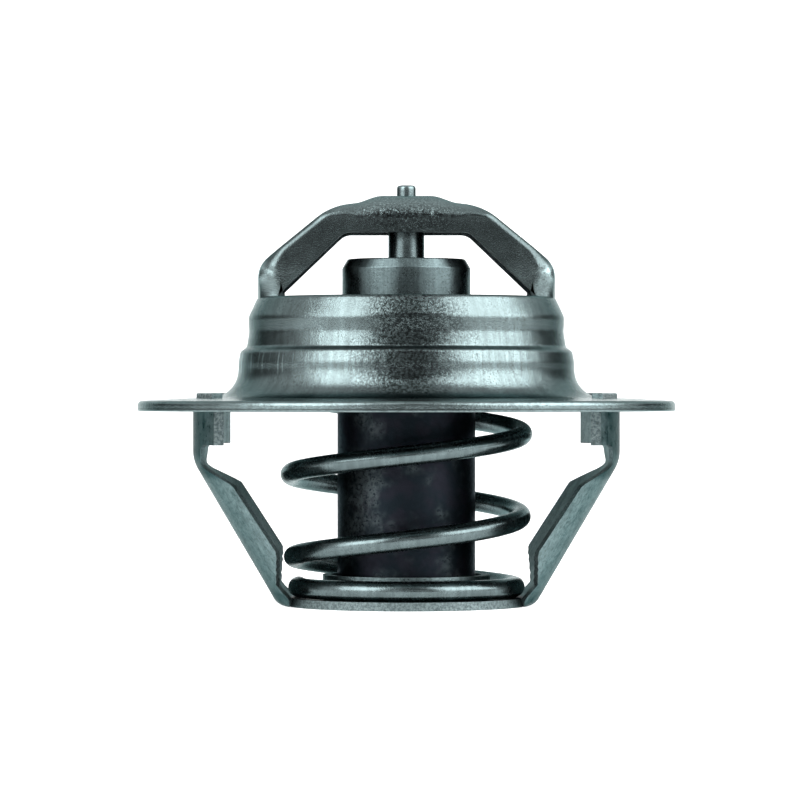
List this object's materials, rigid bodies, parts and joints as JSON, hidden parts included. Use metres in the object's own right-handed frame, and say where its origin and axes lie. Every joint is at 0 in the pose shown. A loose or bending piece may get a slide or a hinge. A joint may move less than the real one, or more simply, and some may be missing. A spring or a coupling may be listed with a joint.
{
  "type": "engine thermostat",
  "caption": "Coolant valve for an engine: round flange with a drawn dome and bridge, a wax capsule that slides on a fixed piston, a valve disc, a coil spring and a lower bracket.",
  "frame": {"origin": "centre of the flange's flat underside, on the valve's axis", "axes": "+Z along the axis from the capsule towards the bridge, +X along the bridge and through the two bracket arms, -Y towards the viewer of the picture"},
  "size_m": [0.05, 0.05, 0.0391],
  "materials": {
    "flange_steel": "bright zinc-grey drawn steel with a soft satin sheen",
    "bracket_steel": "zinc-grey pressed steel, slightly mottled",
    "piston_steel": "ground and polished round steel",
    "guide_steel": "turned steel collar, smooth and bright",
    "capsule_steel": "dark plated steel cup, semi-gloss",
    "disc_steel": "pressed steel disc, dull",
    "spring_steel": "round spring wire, smooth and grey",
    "washer_plastic": "off-white low-friction washer",
    "boot_rubber": "matt black rubber",
    "seal_rubber": "matt black rubber ring",
    "wax": "copper-filled wax, dull brown"
  },
  "bodies": {
    "housing": {"flange_housing": "flange_steel", "lower_bracket": "bracket_steel", "piston": "piston_steel", "main_spring": "spring_steel"},
    "valve": {"guide_collar": "guide_steel", "backing_washer": "washer_plastic", "rubber_boot": "boot_rubber", "wax_charge": "wax", "capsule_cup": "capsule_steel", "valve_disc": "disc_steel", "valve_seal": "seal_rubber"}
  },
  "joints": [
    {"name": "valve_stroke", "type": "slide", "parent": "housing", "child": "valve", "axis": [0, 0, -1], "range_m": [0, 0.008], "stiffness_N_per_m": 800, "springref_m": -0.02, "deforming": ["main_spring"]}
  ]
}
